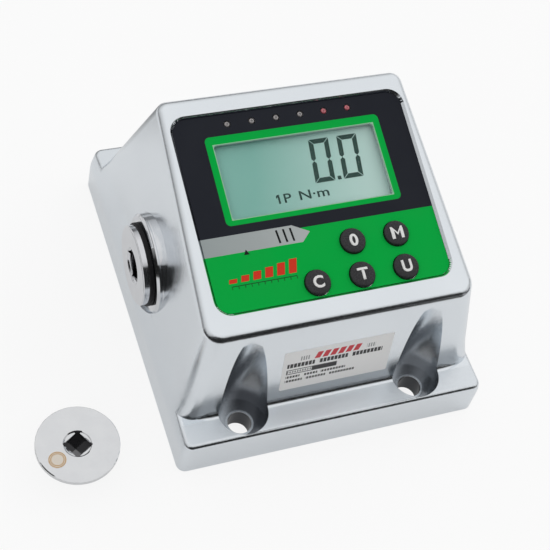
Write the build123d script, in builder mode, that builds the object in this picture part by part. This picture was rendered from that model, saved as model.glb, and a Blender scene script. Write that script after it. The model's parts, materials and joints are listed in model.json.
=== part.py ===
from build123d import *
import os
from math import cos, radians, sin

# Digital torque tester: cast housing, torque shaft with a square socket, sloped display
# panel with five keys, battery compartment, and a loose square-drive adapter beside it.
# Millimetres, X to the right, Y to the back, Z up. The origin is on the underside, at
# the centre of the four base bolts.

os.makedirs("parts", exist_ok=True)

# Foot of the housing
base_width = 160
base_depth = 184
front_foot_height = 23
rear_foot_height = 26
foot_corner_radius = 4.5
foot_edge_radius = 2.6
bolt_spacing_x = 92
bolt_spacing_y = 156
bolt_hole_radius = 6
pocket_floor = 11.5
pocket_floor_radius = 13.1
pocket_top_radius = 9.3
pocket_height = 70

# Body of the housing, seen from the side
front_root_y = -81.2
panel_low_y = -67.8
panel_low_z = 77
panel_tilt = 16.3
panel_length = 120.2
rear_root_y = 90.8
side_insets = ((0, 0), (0.3, 17), (4.6, 33), (19.7, 131))
side_radii = (22, 70)
front_edge_radius = 9
rear_edge_radius = 6
panel_edge_radius = 4.5
wall = 6

# Port and torque shaft, on an axis along X
port_y = 1
port_z = 45.2
shaft_radius = 20
shaft_face_x = -82
face_disc_thickness = 3.2
seal_groove_radius = 18.6
seal_radius = 20.9
collar_face_x = -76.4
collar_radius = 25
collar_lip = 2.8
collar_end_x = -56
bush_radius = 23
inner_wall_left = -12
inner_wall_right = -2
spigot_radius = 10
hub_screw_circle = 15
socket_width = 12.8
socket_depth = 18
shaft_passage_radius = 22
running_gap = 0.05

# Display opening, measured on the panel from its lower edge
opening_margin = 20.6
opening_height = 97.8
opening_middle = 60.5
opening_corner = 7
ledge_width = 3
side_ledge_width = 3.4
overlay_top = 1.2
overlay_thickness = 0.5
plate_thickness = 2
fit_gap = 0.15
window_width = 82.6
window_height = 38
window_middle = 75.1
led_row = 104.2
led_pitch = 12.5
led_count = 6
led_first_x = -31.8
led_hole_radius = 1.8
key_first_x = -9.1
key_pitch_x = 22.8
key_first_row = 18.8
key_pitch_row = 17.1
key_radius = 6.3
key_hole_radius = 6.6
key_stroke = 0.5
board_gap = 1
post_inset = 3
post_inset_low = 4.5
post_inset_high = 3.2
post_radius = 2.6

# Loose adapter
adapter_x = -126
adapter_y = -73.7
adapter_turn = 32
adapter_shank = 12.7
adapter_shank_length = 14
adapter_disc_radius = 20
adapter_disc_thickness = 3
adapter_socket_width = 9.65
adapter_socket_depth = 10

plate_top = overlay_top + overlay_thickness
plate_bottom = plate_top + plate_thickness
board_top = plate_bottom + 6.5
board_thickness = 1.6
board_bottom = board_top + board_thickness
half_width = base_width / 2
opening_width = base_width - 2 * opening_margin
overlay_width = opening_width - 2 * fit_gap
overlay_height = opening_height - 2 * fit_gap
inner_width = opening_width - 2 * side_ledge_width
inner_height = opening_height - 2 * ledge_width
board_width = inner_width - 2 * board_gap
board_height = inner_height - 2 * board_gap

panel_rise = panel_length * sin(radians(panel_tilt))
panel_run = panel_length * cos(radians(panel_tilt))
ridge_y = panel_low_y + panel_run
ridge_z = panel_low_z + panel_rise


def panel_plane(depth=0.0, row=0.0, x=0.0):
    """Plane on the sloped panel: its origin is x across, row up the slope and depth inside."""
    lean = radians(panel_tilt)
    origin = (
        x,
        panel_low_y + row * cos(lean) + depth * sin(lean),
        panel_low_z + row * sin(lean) - depth * cos(lean),
    )
    return Plane(origin=origin, x_dir=(1, 0, 0), z_dir=(0, -sin(lean), cos(lean)))


def port_plane(x):
    """Plane across the port axis at x, facing outward to the left."""
    return Plane(origin=(x, port_y, port_z), x_dir=(0, 1, 0), z_dir=(-1, 0, 0))


panel_up = Axis((0, 0, 0), tuple(panel_plane().z_dir))


def finish(builder, name):
    """Label a finished piece and write it to its own file."""
    builder.part.label = name
    export_step(builder.part, f"parts/{name}.step")


# Outline shared by the body and both feet, seen from the front: upright at the floor,
# then flaring in, then the long draft of the casting
side_profile = [(half_width - inset, height) for inset, height in side_insets]
profile_top = side_profile[-1]
with BuildPart() as side_outline:
    with BuildSketch(Plane.XZ):
        with BuildLine():
            FilletPolyline(*side_profile, radius=list(side_radii))
            Polyline(profile_top, (0, profile_top[1]), (0, 0), side_profile[0])
        make_face()
        mirror(about=Plane.YZ)
    extrude(amount=base_depth, both=True)

with BuildPart() as body:
    with BuildSketch(Plane.YZ):
        Polygon(
            (front_root_y, 0),
            (rear_root_y, 0),
            (ridge_y, ridge_z),
            (panel_low_y, panel_low_z),
            align=None,
        )
    extrude(amount=base_width, both=True)
    add(side_outline.part, mode=Mode.INTERSECT)
    for sign, middle_y, radius in ((-1, 69, front_edge_radius), (1, 55, rear_edge_radius)):
        upright = [e for e in body.edges() if abs(e.center().X) > half_width - 20 and e.center().Z > 1]
        fillet([e for e in upright if sign * e.center().Y > middle_y], radius)
    slope = cos(radians(panel_tilt))
    panel_face = [f for f in body.faces() if abs(f.normal_at().Z - slope) < 0.001][0]
    fillet(panel_face.edges(), panel_edge_radius)


def make_foot(near_y, far_y, height):
    """One foot flange: a bar across the housing with rounded ends and top edges."""
    with BuildPart() as foot:
        with BuildSketch():
            with Locations((0, (near_y + far_y) / 2)):
                Rectangle(2 * base_width, abs(far_y - near_y))
        extrude(amount=height)
        add(side_outline.part, mode=Mode.INTERSECT)
        far_edges = [e for e in foot.edges() if abs(e.center().Y - far_y) < 0.5]
        corners = [e for e in far_edges if abs(e.center().X) > 70 and 1 < e.center().Z < height - 1]
        fillet(corners, foot_corner_radius)
        top_edges = [
            e for e in foot.edges() if e.center().Z > height - 1 and abs(e.center().Y - near_y) > 1
        ]
        fillet(top_edges, foot_edge_radius)
    return foot


front_foot = make_foot(-65, -base_depth / 2, front_foot_height)
rear_foot = make_foot(70, base_depth / 2, rear_foot_height)

# Room inside the casting: the cavity stops short of the bolt pockets, and the inner
# wall that takes the torque shaft stays standing in it
cavity_front = -60
cavity_back = 61
cavity_floor = 2.9
cavity_rear_knee = 58
cavity_inset_low = 11
cavity_inset_high = 23.5
cavity_taper_height = 110
post_places = (122, 105)
port_boss_radius = 32
port_boss_end_x = -50
under_panel = wall / cos(radians(panel_tilt))
with BuildPart() as cavity:
    with BuildSketch(Plane.YZ):
        Polygon(
            (cavity_front, cavity_floor),
            (cavity_back, cavity_floor),
            (cavity_back, cavity_rear_knee),
            (43.5, ridge_z - 7.6),
            (cavity_front, panel_low_z - under_panel + 2.2),
            align=None,
        )
    extrude(amount=100, both=True)
    with BuildSketch(Plane.XZ):
        with BuildLine():
            Polyline(
                (0, 0),
                (half_width - cavity_inset_low, 0),
                (half_width - cavity_inset_high, cavity_taper_height),
                (0, cavity_taper_height),
                close=True,
            )
        make_face()
        mirror(about=Plane.YZ)
    extrude(amount=100, both=True, mode=Mode.INTERSECT)
    with BuildSketch(Plane.YZ.offset(inner_wall_left)):
        Polygon((-70, 0), (70, 0), (70, 72), (1, 72), (-70, 52), align=None)
    extrude(amount=inner_wall_right - inner_wall_left, mode=Mode.SUBTRACT)
    with BuildSketch(Plane.XY):
        with GridLocations(*post_places, 2, 2):
            Rectangle(16, 17)
    extrude(amount=18, mode=Mode.SUBTRACT)
    with BuildSketch(port_plane(port_boss_end_x)):
        Circle(port_boss_radius)
    extrude(amount=30, mode=Mode.SUBTRACT)

cover_screw_places = [(-61, -52), (61, -52), (-61, 53), (61, 53), (-7, -48), (-7, 50)]
cover_width = base_width - 14
cover_depth = 133
cover_thickness = 2.6

with BuildPart() as housing:
    add(body.part)
    add(front_foot.part)
    add(rear_foot.part)
    add(cavity.part, mode=Mode.SUBTRACT)
    # Bolt pockets: drafted half-round reliefs that end in a flat seat with the bolt hole
    for side in (-1, 1):
        for end in (-1, 1):
            place = (side * bolt_spacing_x / 2, end * bolt_spacing_y / 2)
            with Locations((place[0], place[1], pocket_floor)):
                Cone(
                    pocket_floor_radius,
                    pocket_top_radius,
                    pocket_height,
                    align=(Align.CENTER, Align.CENTER, Align.MIN),
                    mode=Mode.SUBTRACT,
                )
            with Locations((place[0], place[1], 0)):
                Cylinder(
                    bolt_hole_radius,
                    pocket_floor + 1,
                    align=(Align.CENTER, Align.CENTER, Align.MIN),
                    mode=Mode.SUBTRACT,
                )
    # Panel recess with a bevelled rim, and the opening through the wall behind it
    with BuildSketch(panel_plane(plate_bottom, opening_middle)):
        RectangleRounded(opening_width, opening_height, opening_corner)
    extrude(amount=plate_bottom + 2, mode=Mode.SUBTRACT)
    with BuildSketch(panel_plane(1.3, opening_middle)):
        RectangleRounded(opening_width - 0.2, opening_height - 0.2, opening_corner - 0.1)
    with BuildSketch(panel_plane(-0.2, opening_middle)):
        RectangleRounded(opening_width + 2.8, opening_height + 2.8, opening_corner + 1.4)
    loft(mode=Mode.SUBTRACT)
    with BuildSketch(panel_plane(wall + 6, opening_middle)):
        RectangleRounded(inner_width, inner_height, 4)
    extrude(amount=wall + 6, mode=Mode.SUBTRACT)
    # Port bore from the left, with a lip that stops the bush
    with BuildSketch(port_plane(collar_end_x)):
        Circle(collar_radius + running_gap)
    extrude(amount=50, mode=Mode.SUBTRACT)
    with BuildSketch(port_plane(port_boss_end_x + 10)):
        Circle(shaft_passage_radius)
    extrude(amount=50, mode=Mode.SUBTRACT)
    # Spigot bore and screw holes in the inner wall
    with BuildSketch(port_plane(inner_wall_right + 1)):
        Circle(spigot_radius + 0.1)
        with PolarLocations(hub_screw_circle, 6):
            Circle(2.8)
    extrude(amount=12, mode=Mode.SUBTRACT)
    # Recess in the underside for the cover, and its screw holes
    with BuildSketch(Plane.XY):
        with Locations((0, 0.5)):
            RectangleRounded(cover_width, cover_depth, 6)
    extrude(amount=3, mode=Mode.SUBTRACT)
    with BuildSketch(Plane.XY):
        with Locations(*cover_screw_places):
            Circle(2.05)
    extrude(amount=13, mode=Mode.SUBTRACT)
finish(housing, "housing")

# Turned collar round the port, bevelled in front, with a lip that hides the bush
with BuildPart() as drive_collar:
    with BuildSketch(port_plane(collar_end_x)):
        Circle(collar_radius)
    extrude(amount=collar_end_x - collar_face_x)
    chamfer(drive_collar.edges().filter_by(GeomType.CIRCLE).sort_by(Axis.X)[0], 1.2)
    with BuildSketch(port_plane(collar_end_x)):
        Circle(bush_radius + running_gap)
    extrude(amount=collar_end_x - collar_face_x - collar_lip, mode=Mode.SUBTRACT)
    with BuildSketch(port_plane(collar_end_x)):
        Circle(shaft_radius + 0.35)
    extrude(amount=30, mode=Mode.SUBTRACT)
finish(drive_collar, "drive_collar")

# Bronze bush that steadies the shaft inside the collar
bush_left_x = collar_face_x + collar_lip + 0.1
with BuildPart() as port_bush:
    with BuildSketch(port_plane(collar_end_x)):
        Circle(bush_radius)
        Circle(shaft_radius + running_gap, mode=Mode.SUBTRACT)
    extrude(amount=collar_end_x - bush_left_x)
finish(port_bush, "port_bush")

# Torque shaft: face disc and barrel with the square socket, a square waist that twists,
# and a hub whose spigot sits in the inner wall
waist_left = -48
waist_right = -31
waist_width = 22
with BuildPart() as torque_sensor:
    with BuildSketch(port_plane(waist_left)):
        Circle(shaft_radius)
    extrude(amount=waist_left - shaft_face_x)
    with BuildSketch(port_plane(waist_right + 1)):
        RectangleRounded(waist_width, waist_width, 2)
    extrude(amount=waist_right - waist_left + 2)
    with BuildSketch(port_plane(inner_wall_left)):
        Circle(shaft_radius)
    extrude(amount=inner_wall_left - waist_right)
    with BuildSketch(port_plane(inner_wall_left + 8)):
        Circle(spigot_radius)
    extrude(amount=8)
    with BuildSketch(port_plane(collar_face_x + 0.4)):
        Circle(shaft_radius + 1)
        Circle(seal_groove_radius, mode=Mode.SUBTRACT)
    extrude(amount=collar_face_x + 0.4 - shaft_face_x - face_disc_thickness, mode=Mode.SUBTRACT)
    rim = torque_sensor.edges().filter_by(GeomType.CIRCLE).sort_by(Axis.X)[0]
    chamfer(rim, 0.6)
    # The socket stands on its corner, with a countersunk mouth and a detent groove
    with BuildSketch(port_plane(shaft_face_x + socket_depth)):
        Rectangle(socket_width, socket_width, rotation=45)
    extrude(amount=socket_depth, mode=Mode.SUBTRACT)
    with BuildSketch(port_plane(shaft_face_x + 1.4)):
        Circle(8.2)
    with BuildSketch(port_plane(shaft_face_x)):
        Circle(9.4)
    loft(mode=Mode.SUBTRACT)
    with BuildSketch(port_plane(shaft_face_x + 11)):
        Circle(7.4)
    extrude(amount=3.4, mode=Mode.SUBTRACT)
    with BuildSketch(port_plane(inner_wall_left)):
        with PolarLocations(hub_screw_circle, 6):
            Circle(2.6)
    extrude(amount=13, mode=Mode.SUBTRACT)
finish(torque_sensor, "torque_sensor")

# Rubber ring in the groove behind the face disc
seal_gap = 0.05
with BuildPart() as port_seal:
    with BuildSketch(port_plane(collar_face_x - seal_gap)):
        Circle(seal_radius)
        Circle(seal_groove_radius + seal_gap, mode=Mode.SUBTRACT)
    extrude(amount=collar_face_x - shaft_face_x - face_disc_thickness - 2 * seal_gap)
    fillet(port_seal.edges().filter_by(GeomType.CIRCLE).sort_by(SortBy.RADIUS)[-2:], 0.5)
finish(port_seal, "port_seal")

# Foil gauges, one on each flat of the waist
with BuildPart() as strain_gauges:
    for turn in range(4):
        angle = radians(90 * turn)
        reach = waist_width / 2
        centre = (-39.5, port_y + reach * cos(angle), port_z + reach * sin(angle))
        flat = Plane(origin=centre, x_dir=(1, 0, 0), z_dir=(0, cos(angle), sin(angle)))
        with BuildSketch(flat):
            Rectangle(9, 7)
        extrude(amount=0.12)
finish(strain_gauges, "strain_gauges")

# Socket screws through the inner wall into the hub, heads on the right
with BuildPart() as sensor_screws:
    with BuildSketch(port_plane(inner_wall_left - 11)):
        with PolarLocations(hub_screw_circle, 6):
            Circle(2.5)
    extrude(amount=-(inner_wall_right - inner_wall_left + 11))
    with BuildSketch(port_plane(inner_wall_right)):
        with PolarLocations(hub_screw_circle, 6):
            Circle(4.3)
    extrude(amount=-5)
    with BuildSketch(port_plane(inner_wall_right + 5)):
        with PolarLocations(hub_screw_circle, 6):
            RegularPolygon(2.3, 6)
    extrude(amount=2.6, mode=Mode.SUBTRACT)
finish(sensor_screws, "sensor_screws")

key_places = {
    "clear": (key_first_x, key_first_row),
    "track": (key_first_x + key_pitch_x, key_first_row),
    "unit": (key_first_x + 2 * key_pitch_x, key_first_row),
    "zero": (key_first_x + key_pitch_x, key_first_row + key_pitch_row),
    "mode": (key_first_x + 2 * key_pitch_x, key_first_row + key_pitch_row),
}
key_points = [(x, row - opening_middle) for x, row in key_places.values()]
led_points = [(led_first_x + i * led_pitch, led_row - opening_middle) for i in range(led_count)]
window_point = (0, window_middle - opening_middle)
post_x = board_width / 2 - post_inset
post_rows = (post_inset_low - board_height / 2, board_height / 2 - post_inset_high)
post_points = [(side * post_x, row) for side in (-1, 1) for row in post_rows]

# Printed film on the panel, open over the display, the lights and the keys
with BuildPart() as graphic_overlay:
    with BuildSketch(panel_plane(plate_top, opening_middle)):
        RectangleRounded(overlay_width, overlay_height, opening_corner - fit_gap)
        with Locations(window_point):
            RectangleRounded(window_width, window_height, 1.5, mode=Mode.SUBTRACT)
        with Locations(*key_points):
            Circle(key_hole_radius, mode=Mode.SUBTRACT)
        with Locations(*led_points):
            Circle(led_hole_radius, mode=Mode.SUBTRACT)
    extrude(amount=overlay_thickness)
finish(graphic_overlay, "graphic_overlay")

# Plate under the film: it rests on the housing's ledge and carries lens, board and keys
lens_width = window_width + 5.4
lens_height = window_height + 5
lens_thickness = 1.5
lens_top = plate_bottom - 1
with BuildPart() as panel_plate:
    with BuildSketch(panel_plane(plate_bottom, opening_middle)):
        RectangleRounded(overlay_width, overlay_height, opening_corner - fit_gap)
        with Locations(window_point):
            RectangleRounded(window_width, window_height, 1.5, mode=Mode.SUBTRACT)
        with Locations(*key_points):
            Circle(key_hole_radius, mode=Mode.SUBTRACT)
        with Locations(*led_points):
            Circle(led_hole_radius, mode=Mode.SUBTRACT)
    extrude(amount=plate_thickness)
    with BuildSketch(panel_plane(plate_bottom, opening_middle)):
        with Locations(window_point):
            Rectangle(lens_width + 0.4, lens_height + 0.4)
    extrude(amount=plate_bottom - lens_top, mode=Mode.SUBTRACT)
    with BuildSketch(panel_plane(board_top, opening_middle)):
        with Locations(*post_points):
            Circle(post_radius)
    extrude(amount=board_top - plate_bottom)
    with BuildSketch(panel_plane(board_top, opening_middle)):
        with Locations(*post_points):
            Circle(1.55)
    extrude(amount=6, mode=Mode.SUBTRACT)
finish(panel_plate, "panel_plate")

with BuildPart() as lcd_lens:
    with BuildSketch(panel_plane(lens_top + lens_thickness, window_middle)):
        Rectangle(lens_width, lens_height)
    extrude(amount=lens_thickness)
finish(lcd_lens, "lcd_lens")

# Display glass: two sheets of glass, the lower one longer so that its contacts are free
glass_width = lens_width + 4
glass_height = lens_height + 2
glass_top = lens_top + lens_thickness + 0.2
glass_thickness = 2.6
with BuildPart() as lcd_glass:
    with BuildSketch(panel_plane(glass_top + glass_thickness, window_middle)):
        Rectangle(glass_width, glass_height)
    extrude(amount=glass_thickness / 2)
    with BuildSketch(panel_plane(glass_top + glass_thickness / 2, window_middle)):
        Rectangle(glass_width, glass_height - 4)
    extrude(amount=glass_thickness / 2)
finish(lcd_glass, "lcd_glass")

# Holder that clamps the glass on the board, with slots for the two contact strips
lip_top = glass_top + glass_thickness
strip_offset = glass_height / 2 - 2.2
strip_length = glass_width - 12
strip_width = 2
with BuildPart() as lcd_holder:
    with BuildSketch(panel_plane(board_top, window_middle)):
        Rectangle(glass_width + 4, glass_height + 3)
    extrude(amount=board_top - glass_top)
    with BuildSketch(panel_plane(lip_top, window_middle)):
        Rectangle(glass_width + 0.3, glass_height + 0.3)
    extrude(amount=glass_thickness, mode=Mode.SUBTRACT)
    with BuildSketch(panel_plane(board_top, window_middle)):
        Rectangle(glass_width - 8, glass_height - 12)
        with GridLocations(0, 2 * strip_offset, 1, 2):
            Rectangle(strip_length + 0.4, strip_width + 0.4)
    extrude(amount=board_top - lip_top, mode=Mode.SUBTRACT)
finish(lcd_holder, "lcd_holder")

with BuildPart() as zebra_strips:
    with BuildSketch(panel_plane(board_top, window_middle)):
        with GridLocations(0, 2 * strip_offset, 1, 2):
            Rectangle(strip_length, strip_width)
    extrude(amount=board_top - lip_top)
finish(zebra_strips, "zebra_strips")

# Indicator lights: dome, rim and two legs that stand on the board
led_groups = {"clear_leds": led_points[:4], "red_leds": led_points[4:]}
for name, points in led_groups.items():
    with BuildPart() as leds:
        with BuildSketch(panel_plane(board_top, opening_middle)):
            for x, row in points:
                with Locations((x - 0.9, row), (x + 0.9, row)):
                    Rectangle(0.5, 0.5)
        extrude(amount=board_top - 6.4)
        with BuildSketch(panel_plane(6.4, opening_middle)):
            with Locations(*points):
                Circle(1.9)
        extrude(amount=1)
        with BuildSketch(panel_plane(5.4, opening_middle)):
            with Locations(*points):
                Circle(1.5)
        extrude(amount=4.5)
        tips = leds.edges().filter_by(GeomType.CIRCLE).group_by(panel_up)[-1]
        fillet(tips, 1.4)
    finish(leds, name)

# Keys: a domed cap on a stem, pressed on the plunger of its switch
switch_size = 6.2
switch_height = 3.4
switch_top = board_top - switch_height
stem_end = 5
cap_rim_height = 1.3
cap_dome = 0.9
cap_skirt = plate_bottom - key_stroke - 0.1
stem_radius = 2.5
cap_rim = overlay_top - cap_rim_height
cap_top = cap_rim - cap_dome
dome_radius = (key_radius**2 + cap_dome**2) / (2 * cap_dome)
plunger_radius = 1.7
plunger_length = 3.4


def key_section_plane(row, x):
    """Upright plane through a key's axis, with its local Y along the panel's normal."""
    lean = radians(panel_tilt)
    origin = panel_plane(0, row, x).origin
    return Plane(origin=origin, x_dir=(1, 0, 0), z_dir=(0, -cos(lean), -sin(lean)))


for name, (x, row) in key_places.items():
    with BuildPart() as cap:
        with BuildSketch(key_section_plane(row, x)):
            with BuildLine():
                Polyline(
                    (0, -cap_top),
                    (0, -stem_end),
                    (stem_radius, -stem_end),
                    (stem_radius, -cap_skirt),
                    (key_radius, -cap_skirt),
                    (key_radius, -cap_rim),
                )
                RadiusArc((key_radius, -cap_rim), (0, -cap_top), -dome_radius)
            make_face()
        revolve(axis=Axis(panel_plane(0, row, x).origin, panel_up.direction))
        rings = [e for e in cap.edges().filter_by(GeomType.CIRCLE) if abs(e.radius - key_radius) < 0.01]
        fillet(ShapeList(rings).sort_by(panel_up)[-1], 0.5)
    finish(cap, f"key_{name}")
    with BuildPart() as plunger:
        with BuildSketch(panel_plane(stem_end + plunger_length, row, x)):
            Circle(plunger_radius)
        extrude(amount=plunger_length)
    finish(plunger, f"plunger_{name}")

with BuildPart() as key_switches:
    with BuildSketch(panel_plane(board_top, opening_middle)):
        with Locations(*key_points):
            Rectangle(switch_size, switch_size)
    extrude(amount=switch_height)
    with BuildSketch(panel_plane(board_top - 1, opening_middle)):
        with Locations(*key_points):
            Circle(plunger_radius + 0.08)
    extrude(amount=switch_height, mode=Mode.SUBTRACT)
finish(key_switches, "key_switches")

# Circuit board with what stands on its inner side
with BuildPart() as main_board:
    with BuildSketch(panel_plane(board_bottom, opening_middle)):
        RectangleRounded(board_width, board_height, 2)
        with Locations(*post_points):
            Circle(1.7, mode=Mode.SUBTRACT)
    extrude(amount=board_thickness)
finish(main_board, "main_board")

with BuildPart() as board_screws:
    with BuildSketch(panel_plane(board_bottom, opening_middle)):
        with Locations(*post_points):
            Circle(1.5)
    extrude(amount=board_thickness + 5)
    with BuildSketch(panel_plane(board_bottom + 2, opening_middle)):
        with Locations(*post_points):
            Circle(2.8)
    extrude(amount=2)
finish(board_screws, "board_screws")

# Each chip: across, up the slope, width, length, height
chips = [(-18, 38, 14, 14, 1.6), (16, 44, 10, 8, 1.8), (24, 72, 12, 18, 2.2), (-22, 66, 9, 6, 1.6)]
with BuildPart() as board_chips:
    for x, row, width, length, height in chips:
        with BuildSketch(panel_plane(board_bottom + height, row, x)):
            Rectangle(width, length)
        extrude(amount=height)
finish(board_chips, "board_chips")

connector_row = 92.5
connector_depth = board_bottom + 6
sensor_lead_x = -32.8
battery_lead_x = 40
with BuildPart() as board_connectors:
    for x in (sensor_lead_x, battery_lead_x):
        with BuildSketch(panel_plane(connector_depth, connector_row, x)):
            Rectangle(10, 7)
        extrude(amount=6)
finish(board_connectors, "board_connectors")

with BuildPart() as buzzer:
    with BuildSketch(panel_plane(board_bottom + 8, 60, 0)):
        Circle(6)
    extrude(amount=8)
    with BuildSketch(panel_plane(board_bottom + 8, 60, 0)):
        Circle(1.2)
    extrude(amount=2, mode=Mode.SUBTRACT)
finish(buzzer, "buzzer")

# Printed label on the front face
front_lean = (panel_low_y - front_root_y) / panel_low_z
label_width = 56.8
label_height = 27.4
label_middle_z = 45.3
front_plane = Plane(
    origin=(0, front_root_y + front_lean * label_middle_z, label_middle_z),
    x_dir=(1, 0, 0),
    z_dir=(0, -1, front_lean),
)
with BuildPart() as rating_label:
    with BuildSketch(front_plane):
        RectangleRounded(label_width, label_height, 0.8)
    extrude(amount=0.12)
finish(rating_label, "rating_label")

# Underside: cover, battery tray with four cells, and the door over them
tray_x = 32
cell_radius = 7.1
cell_length = 49.5
cell_pitch = 14.4
bay_width = 4 * cell_pitch + 0.2
bay_depth = cell_length + 6.5
tray_wall = 1.5
cover_bottom = 0.2
tray_floor = cover_bottom + cover_thickness
tray_height = 2 * cell_radius + 3.5
lug_depth = 7
lug_y = bay_depth / 2 + tray_wall + lug_depth / 2 - 0.7
door_screw_y = lug_y - 0.8
door_width = bay_width + 7.8
door_depth = 2 * door_screw_y + 6.6
door_thickness = 1.6
door_screw_places = [(tray_x, -door_screw_y), (tray_x, door_screw_y)]
door_lug_places = [(tray_x, -lug_y), (tray_x, lug_y)]

with BuildPart() as base_cover:
    with BuildSketch(Plane.XY.offset(cover_bottom)):
        with Locations((0, 0.5)):
            RectangleRounded(cover_width - 0.4, cover_depth - 0.4, 5.8)
        with Locations(*cover_screw_places):
            Circle(2.2, mode=Mode.SUBTRACT)
        with Locations((tray_x, 0)):
            Rectangle(bay_width, bay_depth, mode=Mode.SUBTRACT)
        with Locations(*door_screw_places):
            Circle(1.7, mode=Mode.SUBTRACT)
    extrude(amount=cover_thickness)
    with BuildSketch(Plane.XY.offset(cover_bottom)):
        with Locations((tray_x, 0)):
            Rectangle(door_width + 0.4, door_depth + 0.4)
    extrude(amount=door_thickness + 0.1, mode=Mode.SUBTRACT)
    with Locations(*[(x, y, cover_bottom) for x, y in cover_screw_places]):
        Cone(4.2, 2.2, 2, align=(Align.CENTER, Align.CENTER, Align.MIN), mode=Mode.SUBTRACT)
finish(base_cover, "base_cover")

with BuildPart() as cover_screws:
    with Locations(*[(x, y, cover_bottom + 0.05) for x, y in cover_screw_places]):
        Cone(3.9, 1.9, 2, align=(Align.CENTER, Align.CENTER, Align.MIN))
        Cylinder(1.9, 11, align=(Align.CENTER, Align.CENTER, Align.MIN))
    with BuildSketch(Plane.XY.offset(cover_bottom + 0.05)):
        with Locations(*cover_screw_places):
            RegularPolygon(1.4, 6)
    extrude(amount=1.3, mode=Mode.SUBTRACT)
finish(cover_screws, "cover_screws")

with BuildPart() as battery_holder:
    with BuildSketch(Plane.XY.offset(tray_floor)):
        with Locations((tray_x, 0)):
            Rectangle(bay_width + 2 * tray_wall, bay_depth + 2 * tray_wall)
    extrude(amount=tray_height)
    with BuildSketch(Plane.XY.offset(tray_floor)):
        with Locations((tray_x, 0)):
            Rectangle(bay_width, bay_depth)
    extrude(amount=tray_height - tray_wall, mode=Mode.SUBTRACT)
    with BuildSketch(Plane.XY.offset(tray_floor)):
        with Locations(*door_lug_places):
            Rectangle(10, lug_depth)
    extrude(amount=7)
    with BuildSketch(Plane.XY.offset(tray_floor)):
        with Locations((tray_x, 0)):
            Rectangle(bay_width, bay_depth)
    extrude(amount=7, mode=Mode.SUBTRACT)
    with BuildSketch(Plane.XY.offset(tray_floor)):
        with Locations(*door_screw_places):
            Circle(1.65)
    extrude(amount=6, mode=Mode.SUBTRACT)
finish(battery_holder, "battery_holder")

# Cells lie side by side and point to the front and the back in turn
cell_z = tray_floor + cell_radius + 1.1
with BuildPart() as battery_cells:
    for i in range(4):
        x = tray_x + (i - 1.5) * cell_pitch
        nub_side = 1 if i % 2 else -1
        with BuildSketch(Plane(origin=(x, 0, cell_z), z_dir=(0, 1, 0))):
            Circle(cell_radius)
        extrude(amount=cell_length / 2, both=True)
        end = nub_side * cell_length / 2
        with BuildSketch(Plane(origin=(x, end, cell_z), z_dir=(0, nub_side, 0))):
            Circle(2.7)
        extrude(amount=1)
finish(battery_cells, "battery_cells")

with BuildPart() as battery_contacts:
    for i in range(4):
        x = tray_x + (i - 1.5) * cell_pitch
        nub_side = 1 if i % 2 else -1
        tab_y = nub_side * (bay_depth / 2)
        with BuildSketch(Plane(origin=(x, tab_y, cell_z), z_dir=(0, -nub_side, 0))):
            Rectangle(9, 9)
        extrude(amount=0.6)
        spring_plane = Plane(origin=(x, -tab_y, cell_z), z_dir=(0, nub_side, 0))
        with BuildSketch(spring_plane):
            Circle(4)
            Circle(3.2, mode=Mode.SUBTRACT)
        with BuildSketch(spring_plane.offset(3)):
            Circle(2.6)
            Circle(1.8, mode=Mode.SUBTRACT)
        loft()
finish(battery_contacts, "battery_contacts")

with BuildPart() as battery_door:
    with BuildSketch(Plane.XY.offset(cover_bottom)):
        with Locations((tray_x, 0)):
            RectangleRounded(door_width, door_depth, 0.6)
        with Locations(*door_screw_places):
            Circle(1.6, mode=Mode.SUBTRACT)
    extrude(amount=door_thickness)
    with Locations(*[(x, y, cover_bottom) for x, y in door_screw_places]):
        Cone(2.9, 1.6, 1.3, align=(Align.CENTER, Align.CENTER, Align.MIN), mode=Mode.SUBTRACT)
finish(battery_door, "battery_door")

with BuildPart() as door_screws:
    with Locations(*[(x, y, cover_bottom + 0.05) for x, y in door_screw_places]):
        Cone(2.7, 1.4, 1.3, align=(Align.CENTER, Align.CENTER, Align.MIN))
        Cylinder(1.45, 8, align=(Align.CENTER, Align.CENTER, Align.MIN))
    with BuildSketch(Plane.XY.offset(cover_bottom + 0.05)):
        with Locations(*door_screw_places):
            Rectangle(3.4, 0.7)
    extrude(amount=0.7, mode=Mode.SUBTRACT)
finish(door_screws, "door_screws")


def bend_radii(points):
    """Largest even bends for a lead: each arc takes 0.45 of the shorter run beside it."""
    radii = []
    for before, corner, after in zip(points, points[1:], points[2:]):
        first = Vector(*corner) - Vector(*before)
        second = Vector(*after) - Vector(*corner)
        half_turn = radians(first.get_angle(second)) / 2
        radii.append(0.45 * min(first.length, second.length) * cos(half_turn) / sin(half_turn))
    return radii


def make_lead(points, radius, name):
    """A round lead through the points, with arcs at its bends."""
    radii = bend_radii(points)
    with BuildPart() as lead:
        with BuildLine() as route:
            FilletPolyline(*points, radius=radii)
        with BuildSketch(Plane(origin=points[0], z_dir=route.line % 0)):
            Circle(radius)
        sweep()
    print(name, "bend radii", [round(r, 1) for r in radii])
    finish(lead, name)


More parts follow.
